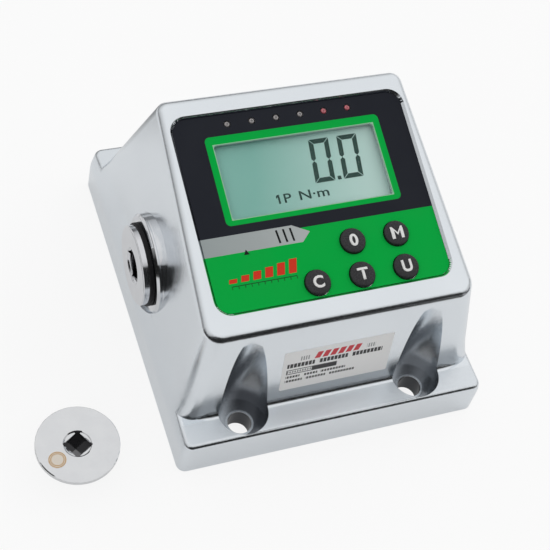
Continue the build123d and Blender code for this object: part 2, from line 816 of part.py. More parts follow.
lead_radius = 1.25
sensor_plug = panel_plane(connector_depth, connector_row, sensor_lead_x).origin
battery_plug = panel_plane(connector_depth, connector_row, battery_lead_x).origin
sensor_lead_points = [
    (sensor_lead_x, port_y + waist_width / 2, port_z),
    (sensor_lead_x, 26, port_z),
    (sensor_lead_x, 32, 58),
    (sensor_lead_x, 29.9, 72.4),
    (sensor_lead_x, sensor_plug.Y, sensor_plug.Z),
]
battery_lead_points = [
    (battery_lead_x, bay_depth / 2 + tray_wall, 14),
    (battery_lead_x, 41, 14),
    (battery_lead_x, 48, 25),
    (battery_lead_x, 48.5, 42),
    (battery_lead_x, 41, 57),
    (battery_lead_x, 30.7, 70),
    (battery_lead_x, battery_plug.Y, battery_plug.Z),
]
make_lead(sensor_lead_points, lead_radius, "sensor_cable")
make_lead(battery_lead_points, lead_radius, "battery_cable")

# Loose adapter: square shank down, face disc up, a smaller square socket in the disc
turn = radians(adapter_turn)
adapter_top = adapter_shank_length + adapter_disc_thickness
ball_radius = 1.6
ball_height = 4.6
ball_stand_out = 0.5
ball_reach = adapter_shank / 2 + ball_stand_out - ball_radius


def adapter_plane(height):
    """Level plane on the adapter's axis, turned with its shank."""
    return Plane(
        origin=(adapter_x, adapter_y, height), x_dir=(cos(turn), sin(turn), 0), z_dir=(0, 0, 1)
    )


def across_shank(reach):
    """Plane facing out of the shank's ball side, at a distance from the axis."""
    origin = (adapter_x + reach * cos(turn), adapter_y + reach * sin(turn), ball_height)
    return Plane(origin=origin, x_dir=(0, 0, 1), z_dir=(cos(turn), sin(turn), 0))


with BuildPart() as adapter:
    with BuildSketch(adapter_plane(0)):
        Rectangle(adapter_shank, adapter_shank)
    extrude(amount=adapter_shank_length)
    chamfer(adapter.edges().group_by(Axis.Z)[0], 1)
    with BuildSketch(adapter_plane(adapter_shank_length)):
        Circle(adapter_disc_radius)
    extrude(amount=adapter_disc_thickness)
    chamfer(adapter.edges().filter_by(GeomType.CIRCLE), 0.4)
    with BuildSketch(adapter_plane(adapter_top - adapter_socket_depth)):
        Rectangle(adapter_socket_width, adapter_socket_width)
    extrude(amount=adapter_socket_depth, mode=Mode.SUBTRACT)
    with BuildSketch(adapter_plane(adapter_top)):
        Circle(7)
    with BuildSketch(adapter_plane(adapter_top - 1)):
        Circle(6)
    loft(mode=Mode.SUBTRACT)
    with BuildSketch(across_shank(1)):
        Circle(ball_radius + running_gap)
    extrude(amount=8, mode=Mode.SUBTRACT)
finish(adapter, "adapter")

with BuildPart() as detent_ball:
    with Locations(across_shank(ball_reach)):
        Sphere(ball_radius)
finish(detent_ball, "detent_ball")

with BuildPart() as detent_spring:
    with BuildSketch(across_shank(ball_reach - ball_radius - 1.6)):
        Circle(1.3)
        Circle(0.9, mode=Mode.SUBTRACT)
    extrude(amount=1.6)
finish(detent_spring, "detent_spring")

# Round sticker on the disc, near the rim
with BuildPart() as adapter_seal:
    with BuildSketch(Plane.XY.offset(adapter_top)):
        with Locations((adapter_x - 11.1, adapter_y - 6)):
            Circle(4.3)
    extrude(amount=0.1)
finish(adapter_seal, "adapter_seal")
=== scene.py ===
import json
from math import cos, pi, radians, sin

import bpy
from mathutils import Matrix, Vector

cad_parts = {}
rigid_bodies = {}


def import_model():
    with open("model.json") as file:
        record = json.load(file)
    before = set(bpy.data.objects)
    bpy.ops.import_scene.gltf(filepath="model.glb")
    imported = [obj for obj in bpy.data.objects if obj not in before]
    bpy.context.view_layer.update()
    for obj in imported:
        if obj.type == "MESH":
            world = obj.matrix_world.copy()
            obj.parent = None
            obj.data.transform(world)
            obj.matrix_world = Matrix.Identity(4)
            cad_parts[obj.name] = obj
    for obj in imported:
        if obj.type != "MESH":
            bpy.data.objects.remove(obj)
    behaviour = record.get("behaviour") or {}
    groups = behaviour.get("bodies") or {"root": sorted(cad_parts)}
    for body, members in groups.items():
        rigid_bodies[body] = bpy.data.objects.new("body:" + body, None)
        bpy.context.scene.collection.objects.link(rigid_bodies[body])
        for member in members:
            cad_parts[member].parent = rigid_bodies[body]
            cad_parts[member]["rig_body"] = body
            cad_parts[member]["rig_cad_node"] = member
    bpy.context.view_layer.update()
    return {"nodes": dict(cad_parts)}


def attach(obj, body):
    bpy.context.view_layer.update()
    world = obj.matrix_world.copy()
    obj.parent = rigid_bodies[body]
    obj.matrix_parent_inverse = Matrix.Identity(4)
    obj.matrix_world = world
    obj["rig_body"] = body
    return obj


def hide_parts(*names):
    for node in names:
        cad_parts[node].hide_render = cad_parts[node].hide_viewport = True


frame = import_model()
nodes = frame["nodes"]
mm = 0.001

# Housing: one pressure die casting with its foot flanges, bolt pockets and port boss.
# The alloy is shot blasted, polished lightly and plated, so flats are satin and the
# blasted grain still shows where the edges turn dark.


class Wire:
    """One output of a node. Arithmetic on it adds the Math nodes that do it."""

    def __init__(self, finish, socket):
        self.finish = finish
        self.socket = socket

    def maths(self, operation, *values):
        return self.finish.node("ShaderNodeMath", {"operation": operation}, (self, *values))

    def __add__(self, other):
        return self.maths("ADD", other)

    def __radd__(self, other):
        return self.maths("ADD", other)

    def __sub__(self, other):
        return self.maths("SUBTRACT", other)

    def __rsub__(self, other):
        return self.finish.node("ShaderNodeMath", {"operation": "SUBTRACT"}, (other, self))

    def __mul__(self, other):
        return self.maths("MULTIPLY", other)

    def __rmul__(self, other):
        return self.maths("MULTIPLY", other)

    def __truediv__(self, other):
        return self.maths("DIVIDE", other)

    def __abs__(self):
        return self.maths("ABSOLUTE")

    def __gt__(self, other):
        return self.maths("GREATER_THAN", other)

    def __lt__(self, other):
        return self.maths("LESS_THAN", other)

    def distance(self, other):
        """Length of the line whose two legs are this value and another."""
        return (self * self + other * other).maths("SQRT")

    def fraction(self):
        return self.maths("FRACT")

    def highest(self, other):
        return self.maths("MAXIMUM", other)

    def between(self, low, high):
        """1 where the value lies between two numbers, and 0 elsewhere."""
        return (self > low) * (self < high)


class Finish:
    """A material with one Principled shader, and a method that adds what feeds it."""

    def __init__(self, name, **constants):
        self.material = bpy.data.materials.new(name)
        self.material.use_nodes = True
        self.tree = self.material.node_tree
        self.shader = self.tree.nodes["Principled BSDF"]
        for socket_name, value in constants.items():
            self.shader.inputs[socket_name.replace("_", " ")].default_value = value

    def node(self, kind, settings, inputs, output=0):
        """Add a node, set its settings, then give its sockets values or links."""
        made = self.tree.nodes.new(kind)
        for name, value in settings.items():
            setattr(made, name, value)
        pairs = inputs.items() if isinstance(inputs, dict) else enumerate(inputs)
        for name, value in pairs:
            if isinstance(value, Wire):
                self.tree.links.new(value.socket, made.inputs[name])
            else:
                made.inputs[name].default_value = value
        return Wire(self, made.outputs[output])

    def place(self):
        """Position on the object, as a vector, in metres."""
        return self.node("ShaderNodeTexCoord", {}, {}, "Object")

    def split(self, vector):
        """The three numbers of a vector."""
        parts = self.node("ShaderNodeSeparateXYZ", {}, (vector,)).socket.node.outputs
        return [Wire(self, part) for part in parts]

    def axes(self):
        """Position on the object as three numbers, in millimetres."""
        return [part * (1 / mm) for part in self.split(self.place())]

    def noise(self, size, detail=2.0, roughness=0.5, vector=None):
        """Noise whose lumps are about one size across, in metres."""
        inputs = {
            "Vector": vector or self.place(),
            "Scale": 1 / size,
            "Detail": detail,
            "Roughness": roughness,
        }
        return self.node("ShaderNodeTexNoise", {}, inputs, "Fac")

    def spread(self, wire, low, high, out_low, out_high):
        """Stretch a range of a value to another range, held at both ends."""
        inputs = {
            "Value": wire,
            "From Min": low,
            "From Max": high,
            "To Min": out_low,
            "To Max": out_high,
        }
        return self.node("ShaderNodeMapRange", {}, inputs)

    def mix(self, factor, first, second):
        """Blend two colours."""
        inputs = {
            0: factor,
            6: first if isinstance(first, Wire) else (*first, 1),
            7: second if isinstance(second, Wire) else (*second, 1),
        }
        return self.node("ShaderNodeMix", {"data_type": "RGBA"}, inputs, 2)

    def bump(self, height, strength, distance):
        """Turn a height into a normal for the shader."""
        inputs = {"Height": height, "Strength": strength, "Distance": distance}
        self.feed("Normal", self.node("ShaderNodeBump", {}, inputs))

    def feed(self, socket_name, wire):
        self.tree.links.new(wire.socket, self.shader.inputs[socket_name])


def dress(piece, finish):
    """Give a piece one material all over."""
    if not piece.material_slots:
        piece.data.materials.append(finish.material)
    for material_slot in piece.material_slots:
        material_slot.material = finish.material


def select_only(piece):
    """Make one piece the only selected and the active object."""
    bpy.ops.object.select_all(action="DESELECT")
    piece.select_set(True)
    bpy.context.view_layer.objects.active = piece


def apply_modifier(piece, kind, **settings):
    """Add a modifier to the active piece, set it up and apply it."""
    modifier = piece.modifiers.new(kind.lower(), kind)
    for name, value in settings.items():
        setattr(modifier, name, value)
    bpy.ops.object.modifier_apply(modifier=modifier.name)


def smooth_copy(node_name, piece_name, finish, angle=32):
    """A welded copy of a CAD node, shaded smooth between its edges, in the node's place."""
    select_only(nodes[node_name])
    bpy.ops.object.duplicate()
    piece = bpy.context.view_layer.objects.active
    del piece["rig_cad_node"]
    piece.name = piece_name
    bpy.ops.object.mode_set(mode="EDIT")
    bpy.ops.mesh.select_all(action="SELECT")
    bpy.ops.mesh.remove_doubles(threshold=0.002 * mm)
    bpy.ops.mesh.dissolve_limited(angle_limit=radians(0.3))
    bpy.ops.object.mode_set(mode="OBJECT")
    bpy.ops.object.shade_smooth_by_angle(angle=radians(angle))
    apply_modifier(piece, "WEIGHTED_NORMAL", keep_sharp=True, weight=50)
    dress(piece, finish)
    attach(piece, nodes[node_name]["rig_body"])
    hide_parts(node_name)
    return piece


casting_silver = (0.80, 0.84, 0.875)
casting_shadow = (0.72, 0.76, 0.80)
pocket_shadow = (0.10, 0.105, 0.12)
painted_bore_shade = (0.08, 0.083, 0.09)
casting_cloud = 38 * mm
blast_grain = 0.9 * mm
cast_ripple = 9 * mm
grain_depth = 0.25 * mm
pocket_x = 46.0
pocket_y = 78.0
pocket_floor = 11.5
pocket_reach = 13.3
pocket_taper = 0.0543
shade_heights = (50, 20)
shade_sides = (-9, 3)
bore_reach = 6.25
bore_top = 11.3
rim_reach = 7.0
rim_top = 12.0
front_flange_top = 23.0
rear_flange_top = 26.0
flange_start = 79.0
flat_reach = 0.2

casting_finish = Finish("satin_plated_casting", Metallic=1.0)
tone = casting_finish.noise(casting_cloud, detail=3)
plated = casting_finish.mix(tone, casting_shadow, casting_silver)
across, deep, high = casting_finish.axes()
from_bore = (abs(across) - pocket_x).distance(abs(deep) - pocket_y)
# Painted shade: the walls of the bolt pockets are painted darker, most low down, towards the right of
# each pocket and in the left pockets. The floor round each bore is left out of it.
in_pocket = from_bore + (high - pocket_floor) * pocket_taper < pocket_reach
in_pocket = in_pocket * (high > pocket_floor - 0.3)
right_of_bore = across - ((across > 0) * 2 - 1) * pocket_x
painted_pocket_shade = casting_finish.spread(high, *shade_heights, 0, 0.82)
painted_pocket_shade = painted_pocket_shade * casting_finish.spread(right_of_bore, *shade_sides, 0.25, 1)
painted_pocket_shade = painted_pocket_shade * casting_finish.spread(across, -30, 30, 1, 0.75)
unshaded_bore_rim = (from_bore < rim_reach) * (high < rim_top)
painted_pocket_shade = painted_pocket_shade * in_pocket * (1 - unshaded_bore_rim)
plated = casting_finish.mix(painted_pocket_shade, plated, pocket_shadow)
# Painted shade: the bore of each bolt hole is painted nearly black.
in_bore = (from_bore < bore_reach) * (high < bore_top)
casting_finish.feed("Base Color", casting_finish.mix(in_bore, plated, painted_bore_shade))
grain = casting_finish.noise(blast_grain, detail=3, roughness=0.7)
ripple = casting_finish.noise(cast_ripple, detail=1)
on_front_flange = abs(high - front_flange_top) < flat_reach
on_rear_flange = abs(high - rear_flange_top) < flat_reach
dulled = on_front_flange.highest(on_rear_flange) * (abs(deep) > flange_start) * 0.2
casting_finish.feed("Roughness", casting_finish.spread(grain, 0.3, 0.7, 0.14, 0.25) + dulled)
casting_finish.bump(grain * 0.7 + ripple * 0.3, 0.24, grain_depth)
smooth_copy("housing", "housing_casting", casting_finish, angle=15)

# Root fillets of the casting: the coves that the mould leaves where the front and the
# rear face run into their flanges. They end in the bolt pockets and fade at the corners.
cove_radius = 3 * mm
cove_half_length = 70 * mm
cove_fade_start = 62 * mm
cove_end = cove_half_length - 1 * mm
cove_sink = 0.1 * mm
cove_edge_angle = radians(25)
pocket_spots = [(x * mm, y * mm) for x in (-pocket_x, pocket_x) for y in (-pocket_y, pocket_y)]
pocket_low = pocket_floor * mm
pocket_rise = 70 * mm
pocket_low_radius = 13.13 * mm
pocket_high_radius = 9.33 * mm


def pick(piece, test):
    """Select the vertices of the active piece that pass a test, and go to edit mode."""
    bpy.ops.object.mode_set(mode="EDIT")
    bpy.ops.mesh.select_mode(type="VERT")
    bpy.ops.mesh.select_all(action="DESELECT")
    bpy.ops.object.mode_set(mode="OBJECT")
    for vertex in piece.data.vertices:
        vertex.select = test(vertex.co)
    bpy.ops.object.mode_set(mode="EDIT")


def cut_away(piece, cutter):
    """Cut the cutter's shape out of the piece and delete the cutter."""
    select_only(piece)
    apply_modifier(piece, "BOOLEAN", operation="DIFFERENCE", object=cutter)
    bpy.data.objects.remove(cutter)


def root_cove(piece_name, flange_top, face_z, inner_y, centre_y, fade_y):
    """A bar in the corner, hollowed by a round cutter that touches face and flange. Each
    end shrinks to a point on the flange, at fade_y."""
    centre_z = flange_top + cove_radius
    low_z = flange_top - cove_sink
    bpy.ops.object.select_all(action="DESELECT")
    bpy.ops.mesh.primitive_cube_add(
        size=1, location=(0, (centre_y + inner_y) / 2, (low_z + face_z) / 2)
    )
    cove = bpy.context.view_layer.objects.active
    cove.name = piece_name
    cove.dimensions = (2 * cove_half_length, abs(inner_y - centre_y), face_z - low_z)
    bpy.ops.object.transform_apply(location=True, rotation=True, scale=True)
    bpy.ops.mesh.primitive_cylinder_add(
        vertices=96,
        radius=cove_radius,
        depth=3 * cove_half_length,
        location=(0, centre_y, centre_z),
        rotation=(0, pi / 2, 0),
    )
    cut_away(cove, bpy.context.view_layer.objects.active)
    for side in (-1, 1):
        bpy.ops.object.mode_set(mode="EDIT")
        bpy.ops.mesh.select_all(action="SELECT")
        bpy.ops.mesh.bisect(plane_co=(side * cove_fade_start, 0, 0), plane_no=(1, 0, 0))
        pick(cove, lambda spot: side * spot.x > cove_end)
        bpy.ops.mesh.merge(type="CENTER")
        bpy.ops.object.mode_set(mode="OBJECT")
        pick(cove, lambda spot: side * spot.x > cove_end)
        bpy.ops.transform.resize(
            value=(1, 0, 0), center_override=(side * cove_half_length, fade_y, flange_top)
        )
        bpy.ops.object.mode_set(mode="OBJECT")
    for x, y in pocket_spots:
        if y * centre_y > 0:
            bpy.ops.mesh.primitive_cone_add(
                vertices=128,
                radius1=pocket_low_radius,
                radius2=pocket_high_radius,
                depth=pocket_rise,
                location=(x, y, pocket_low + pocket_rise / 2),
            )
            cut_away(cove, bpy.context.view_layer.objects.active)
    bpy.ops.object.mode_set(mode="EDIT")
    bpy.ops.mesh.select_all(action="SELECT")
    bpy.ops.mesh.normals_make_consistent(inside=False)
    bpy.ops.object.mode_set(mode="OBJECT")
    bpy.ops.object.shade_smooth_by_angle(angle=cove_edge_angle)
    dress(cove, casting_finish)
    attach(cove, "tester")


root_cove(
    "front_root_cove",
    flange_top=front_flange_top * mm,
    face_z=25.49 * mm,
    inner_y=-75.6 * mm,
    centre_y=-79.72 * mm,
    fade_y=-76.9 * mm,
)
root_cove(
    "rear_root_cove",
    flange_top=rear_flange_top * mm,
    face_z=27.91 * mm,
    inner_y=78.8 * mm,
    centre_y=82.70 * mm,
    fade_y=80.3 * mm,
)

# Port collar: a steel ring turned from bar, polished, and pressed into the boss of the
# casting. The face and the bevel keep fine rings from the lathe.
collar_groove_x = -73.9
socket_mouth_x = -80.7
socket_reach = 9.3
polish_cloud = 6 * mm


def middle_of(node_name):
    """Centre of a CAD node's box, in millimetres."""
    corners = [Vector(corner) for corner in nodes[node_name].bound_box]
    return sum(corners, Vector()) / len(corners) / mm


def turned_finish(name, bright, dark, roughness, ring_pitch, depth, socket_shade=None, groove_x=None):
    """Metal turned about the port axis: fine rings and a faint clouding from polishing.
    A dark colour for the socket in the middle is painted shade, and a groove is one fine
    line cut round the outside."""
    finish = Finish(name, Metallic=1.0)
    across, deep, high = finish.axes()
    port = middle_of("torque_sensor")
    out = (deep - port.y).distance(high - port.z)
    along = finish.node("ShaderNodeCombineXYZ", {}, (out, across, 0.0))
    rings = finish.noise(ring_pitch / mm, detail=2, vector=along)
    cloud = finish.noise(polish_cloud, detail=3)
    tint = finish.mix(cloud, dark, bright)
    if socket_shade:
        tint = finish.mix((out < socket_reach) * (across > socket_mouth_x), tint, socket_shade)
    finish.feed("Base Color", tint)
    finish.feed("Roughness", finish.spread(rings, 0.3, 0.7, *roughness))
    height = rings * 0.1
    if groove_x:
        height = height + finish.spread(abs(across - groove_x), 0.12, 0.45, 0, 2)
    finish.bump(height, 0.8, depth)
    return finish


collar_finish = turned_finish(
    "polished_collar_steel",
    bright=(0.78, 0.79, 0.81),
    dark=(0.60, 0.62, 0.65),
    roughness=(0.05, 0.11),
    ring_pitch=0.35 * mm,
    depth=0.04 * mm,
    groove_x=collar_groove_x,
)
smooth_copy("drive_collar", "turned_collar", collar_finish)

# Bush: a plain sleeve of sintered bronze, pressed into the collar, that steadies the
# shaft as it is turned.
bush_finish = turned_finish(
    "sintered_bronze",
    bright=(0.55, 0.36, 0.16),
    dark=(0.40, 0.25, 0.10),
    roughness=(0.35, 0.50),
    ring_pitch=0.6 * mm,
    depth=0.04 * mm,
)
smooth_copy("port_bush", "bronze_bush", bush_finish)

# Torque shaft: hardened steel, ground and plated, with a broached square socket in its
# face disc. The waist behind it twists a little under load.
# Painted shade: the square socket in the face disc is painted nearly black.
shaft_finish = turned_finish(
    "ground_shaft_steel",
    bright=(0.74, 0.75, 0.77),
    dark=(0.64, 0.65, 0.68),
    roughness=(0.10, 0.18),
    ring_pitch=0.5 * mm,
    depth=0.04 * mm,
    socket_shade=(0.13, 0.13, 0.14),
)
smooth_copy("torque_sensor", "torque_shaft", shaft_finish)


def mottled(name, dark, light, lump, roughness, depth=0.0, metallic=0.0, **constants):
    """A finish whose tone and gloss wander a little, with a fine grain if it has a depth."""
    finish = Finish(name, Metallic=metallic, **constants)
    lumps = finish.noise(lump, detail=3, roughness=0.6)
    finish.feed("Base Color", finish.mix(finish.spread(lumps, 0.3, 0.7, 0, 1), dark, light))
    finish.feed("Roughness", finish.spread(lumps, 0.3, 0.7, *roughness))
    if depth:
        finish.bump(finish.noise(lump / 3, detail=2), 0.25, depth)
    return finish


# Port seal: a black rubber ring, stretched into the groove behind the face disc, that
# keeps dust out of the bush.
seal_finish = mottled(
    "black_seal_rubber",
    dark=(0.006, 0.006, 0.007),
    light=(0.016, 0.016, 0.018),
    lump=1.2 * mm,
    roughness=(0.45, 0.65),
    depth=0.04 * mm,
    Specular_IOR_Level=0.2,
)
smooth_copy("port_seal", "rubber_ring", seal_finish, angle=50)

# Strain gauges: thin foil patches glued on the four flats of the waist, copper colour
# with the fine folded tracks of the grid.
grid_pitch = 0.5
gauge_finish = Finish("gauge_foil_grid", Roughness=0.35)
across, deep, high = gauge_finish.axes()
tracks = (across / grid_pitch).fraction() < 0.55
gauge_finish.feed("Base Color", gauge_finish.mix(tracks, (0.62, 0.36, 0.12), (0.75, 0.52, 0.26)))
gauge_finish.bump(tracks, 0.2, 0.02 * mm)
dress(nodes["strain_gauges"], gauge_finish)

# Hub screws: six blacked socket screws that go through the inner wall of the casting
# into the shaft's hub.
black_steel_finish = mottled(
    "blacked_steel",
    dark=(0.02, 0.02, 0.022),
    light=(0.05, 0.05, 0.052),
    lump=2 * mm,
    roughness=(0.30, 0.45),
    depth=0.02 * mm,
    metallic=0.8,
)
smooth_copy("sensor_screws", "hub_screws", black_steel_finish)

# Loose adapter: square drive shank with a wide disc, plated and polished like a mirror,
# with a smaller square socket in the disc.
adapter_middle = middle_of("adapter")
adapter_socket_reach = 7.2
adapter_socket_heights = (6.9, 16.0)
adapter_finish = Finish("mirror_plated_adapter", Metallic=1.0)
across, deep, high = adapter_finish.axes()
out = (across - adapter_middle.x).distance(deep - adapter_middle.y)
along = adapter_finish.node("ShaderNodeCombineXYZ", {}, (out, high, 0.0))
rings = adapter_finish.noise(0.6, detail=1, vector=along)
cloud = adapter_finish.noise(7 * mm, detail=2)
mirror = adapter_finish.mix(cloud, (0.66, 0.67, 0.69), (0.74, 0.75, 0.76))
# Painted shade: the square socket in the disc is painted dark.
in_socket = (out < adapter_socket_reach) * high.between(*adapter_socket_heights)
adapter_finish.feed("Base Color", adapter_finish.mix(in_socket, mirror, (0.14, 0.14, 0.145)))
adapter_finish.feed("Roughness", adapter_finish.spread(cloud, 0.3, 0.7, 0.04, 0.10))
adapter_finish.bump(rings, 0.04, 0.03 * mm)
smooth_copy("adapter", "drive_adapter", adapter_finish)

# Detent: a hardened ball on a short spring, in a hole drilled in the side of the shank,
# that holds the adapter in the port.
ball_finish = mottled(
    "hardened_ball",
    dark=(0.66, 0.67, 0.69),
    light=(0.76, 0.77, 0.79),
    lump=1 * mm,
    roughness=(0.05, 0.12),
    metallic=1.0,
)
smooth_copy("detent_ball", "shank_ball", ball_finish, angle=60)
spring_finish = mottled(
    "spring_steel",
    dark=(0.42, 0.42, 0.43),
    light=(0.60, 0.60, 0.60),
    lump=0.4 * mm,
    roughness=(0.25, 0.40),
    depth=0.02 * mm,
    metallic=1.0,
)
smooth_copy("detent_spring", "ball_spring", spring_finish)

# Round seal on the adapter: gold foil on paper, stuck on the disc, with two printed
# rings.
seal_middle = middle_of("adapter_seal")
inner_ring = (2.9, 3.25)
outer_ring = (3.7, 4.05)
foil_finish = Finish("gold_foil_seal", Metallic=0.5, Roughness=0.30)
across, deep, high = foil_finish.axes()
out = (across - seal_middle.x).distance(deep - seal_middle.y)
ringed = out.between(*inner_ring).highest(out.between(*outer_ring))
foil_tone = foil_finish.mix(foil_finish.noise(0.5 * mm), (0.66, 0.60, 0.52), (0.76, 0.70, 0.62))
foil_finish.feed("Base Color", foil_finish.mix(ringed, foil_tone, (0.46, 0.23, 0.04)))
foil_finish.bump(ringed, 0.3, 0.04 * mm)
smooth_copy("adapter_seal", "adapter_foil_seal", foil_finish)

# Panel plate: milled alloy behind the film. Only its cut edges show, in the window and
# round the keys.
plate_finish = mottled(
    "milled_plate_alloy",
    dark=(0.60, 0.61, 0.62),
    light=(0.74, 0.75, 0.76),
    lump=1.5 * mm,
    roughness=(0.30, 0.45),
    depth=0.02 * mm,
    metallic=0.6,
)
dress(nodes["panel_plate"], plate_finish)

# Panel film: polyester printed from behind in charcoal, green and grey, matt on top. It
# has a green frame round the window, a grey band that points right, and below that a red
# wedge of bars that rises over a scale.
panel_tilt = radians(16.3)
panel_low_y = -67.8
panel_low_z = 77.0
window_half = (41.3, 19.0)
window_row = 75.1
window_edge = 0.4
frame_half = (45.0, 22.7)
frame_row = 75.9
frame_corner = 2.5
film_charcoal = (0.018, 0.020, 0.027)
film_green = (0.0, 0.410, 0.055)
film_grey = (0.33, 0.37, 0.37)
film_grey_light = (0.44, 0.47, 0.47)
film_red = (0.66, 0.040, 0.018)
film_black = (0.012, 0.014, 0.014)
film_edge = (0.42, 0.62, 0.50)
colour_row = 46.8
band_low = 39.75
band_high = 48.8
tip_low_x = -10.5
tip_low_lean = 1.011
tip_high_x = -14
tip_high_lean = 1.864
mark_middle_row = 44.4
mark_rows = (41.0, 47.6)
mark_span = (-22.5, -14.2)
mark_start = -22.4
mark_pitch = 3.5
mark_share = 0.29
mark_lean = 0.09
pointer_x = -39
pointer_rows = (38.2, 40.8)
pointer_spread = 0.56
wedge_span = (-51, -15.6)
wedge_low = 25.7
wedge_first_top = 27.7
wedge_step = 0.98
wedge_pitch = 5.9
wedge_share = 0.66
wedge_lean = 0.25
scale_span = (-50, -18)
scale_rows = (23.9, 24.35)
tick_span = (-50.1, -17.5)
tick_rows = (22.6, 24.35)
tick_start = -50.2
tick_pitch = 3.2
tick_share = 0.13


def panel_axes(finish):
    """Position across the panel and up its slope, in millimetres."""
    across, deep, high = finish.axes()
    up = (deep - panel_low_y) * cos(panel_tilt) + (high - panel_low_z) * sin(panel_tilt)
    return across, up


film_finish = Finish("printed_panel_film", Specular_IOR_Level=0.05)
across, up = panel_axes(film_finish)
side_gap = (abs(across) - (frame_half[0] - frame_corner)).highest(0.0)
row_gap = (abs(up - frame_row) - (frame_half[1] - frame_corner)).highest(0.0)
in_frame = side_gap.distance(row_gap) < frame_corner
in_band = up.between(band_low, band_high)
in_band = in_band * (across < (band_high - up) * tip_high_lean + tip_high_x)
in_band = in_band * (across < (up - band_low) * tip_low_lean + tip_low_x)
leaning = across + (up - mark_middle_row) * mark_lean
in_marks = ((leaning - mark_start) / mark_pitch).fraction() < mark_share
in_marks = in_marks * leaning.between(*mark_span) * up.between(*mark_rows)
in_pointer = abs(across - pointer_x) < (pointer_rows[1] - up) * pointer_spread
in_pointer = in_pointer * up.between(*pointer_rows)
wedge_across = across - (up - wedge_low) * wedge_lean
wedge_place = (wedge_across - wedge_span[0]) / wedge_pitch
wedge_top = (wedge_place - wedge_place.fraction()) * wedge_step + wedge_first_top
in_wedge = (wedge_place.fraction() < wedge_share) * wedge_across.between(*wedge_span)
in_wedge = in_wedge * (up > wedge_low) * (up < wedge_top)
in_line = up.between(*scale_rows) * across.between(*scale_span)
in_ticks = ((across - tick_start) / tick_pitch).fraction() < tick_share
in_ticks = in_ticks * up.between(*tick_rows) * across.between(*tick_span)
in_scale = in_line.highest(in_ticks)
ink = film_finish.mix(up < colour_row, film_charcoal, film_green)
ink = film_finish.mix(in_frame, ink, film_green)
in_cut_edge = abs(across) < window_half[0] + window_edge
in_cut_edge = in_cut_edge * (abs(up - window_row) < window_half[1] + window_edge)
ink = film_finish.mix(in_cut_edge * 0.75, ink, film_edge)
grey = film_finish.mix(film_finish.spread(across, -59, -8, 0, 1), film_grey, film_grey_light)
ink = film_finish.mix(in_band, ink, grey)
ink = film_finish.mix(in_marks.highest(in_pointer), ink, film_black)
ink = film_finish.mix(in_wedge, ink, film_red)
ink = film_finish.mix(in_scale * 0.8, ink, film_black)
fade = film_finish.noise(22 * mm, detail=2)
ink = film_finish.mix(film_finish.spread(fade, 0.35, 0.65, 0, 0.03), ink, (0.08, 0.09, 0.10))
texture = film_finish.noise(0.30 * mm, detail=1)
film_finish.feed("Base Color", ink)
film_finish.feed("Roughness", film_finish.spread(texture, 0.3, 0.7, 0.42, 0.56))
film_finish.bump(texture, 0.05, 0.03 * mm)
dress(nodes["graphic_overlay"], film_finish)

# Display: a clear acrylic lens under the film, and below it the liquid crystal glass in
# its white holder, with two strips of contact rubber that join it to the board.
lens_finish = Finish("clear_lens_acrylic", Alpha=0.05, IOR=1.45)
wiped = lens_finish.noise(14 * mm, detail=4)
lens_finish.feed("Base Color", lens_finish.mix(wiped, (0.04, 0.05, 0.05), (0.08, 0.10, 0.09)))
lens_finish.feed("Roughness", lens_finish.spread(wiped, 0.3, 0.7, 0.03, 0.10))
dress(nodes["lcd_lens"], lens_finish)

glass_shaded_green = (0.26, 0.57, 0.49)
glass_lit_green = (0.60, 0.84, 0.78)
shaded_corner_x = -20
shaded_corner_row = 94.0
# Painted light and shade: the glass is painted darker towards the upper left and paler towards the lower
# right, with a wandering streak in the gradient.
glass_finish = Finish("reflective_display_glass", Specular_IOR_Level=0.3)
across, up = panel_axes(glass_finish)
pale = (shaded_corner_row - up) * 0.0040 + (across - shaded_corner_x) * 0.0170
painted_light_streak = glass_finish.noise(17 * mm, detail=2)
pale = glass_finish.spread(pale + painted_light_streak * 0.12, 0.06, 1.06, 0, 1)
glass_finish.feed("Base Color", glass_finish.mix(pale, glass_shaded_green, glass_lit_green))
dots = glass_finish.noise(0.12 * mm, detail=0)
glass_finish.feed("Roughness", glass_finish.spread(dots, 0.3, 0.7, 0.30, 0.40))
dress(nodes["lcd_glass"], glass_finish)

holder_finish = mottled(
    "moulded_white_plastic",
    dark=(0.60, 0.60, 0.58),
    light=(0.68, 0.68, 0.66),
    lump=3 * mm,
    roughness=(0.38, 0.50),
    depth=0.02 * mm,
)
dress(nodes["lcd_holder"], holder_finish)

layer_pitch = 0.36
strip_finish = Finish("layered_contact_rubber", Roughness=0.6)
across, up = panel_axes(strip_finish)
layers = (across / layer_pitch).fraction() < 0.5
strip_finish.feed("Base Color", strip_finish.mix(layers, (0.50, 0.22, 0.20), (0.03, 0.03, 0.03)))
dress(nodes["zebra_strips"], strip_finish)

# Display signs: the segments that the crystal turns dark, just above the glass. A nought
# is half a level bar and one upright, mirrored both ways and leaned as one shape.
digit_row = 80.0
left_digit_x = 11.3
right_digit_x = 26.2
digit_half = (5.2, 11.3)
bar_width = 2.4
bar_gap = 0.22
digit_lean = 0.097
point_x = 17.8
point_row = 69.7
point_size = 1.9 * mm
point_corner = 0.3 * mm
sign_depth = 4.38
sign_thickness = 0.04 * mm
sign_finish = mottled(
    "dark_crystal_sign",
    dark=(0.028, 0.070, 0.058),
    light=(0.042, 0.094, 0.080),
    lump=0.8 * mm,
    roughness=(0.35, 0.45),
    Specular_IOR_Level=0.15,
)


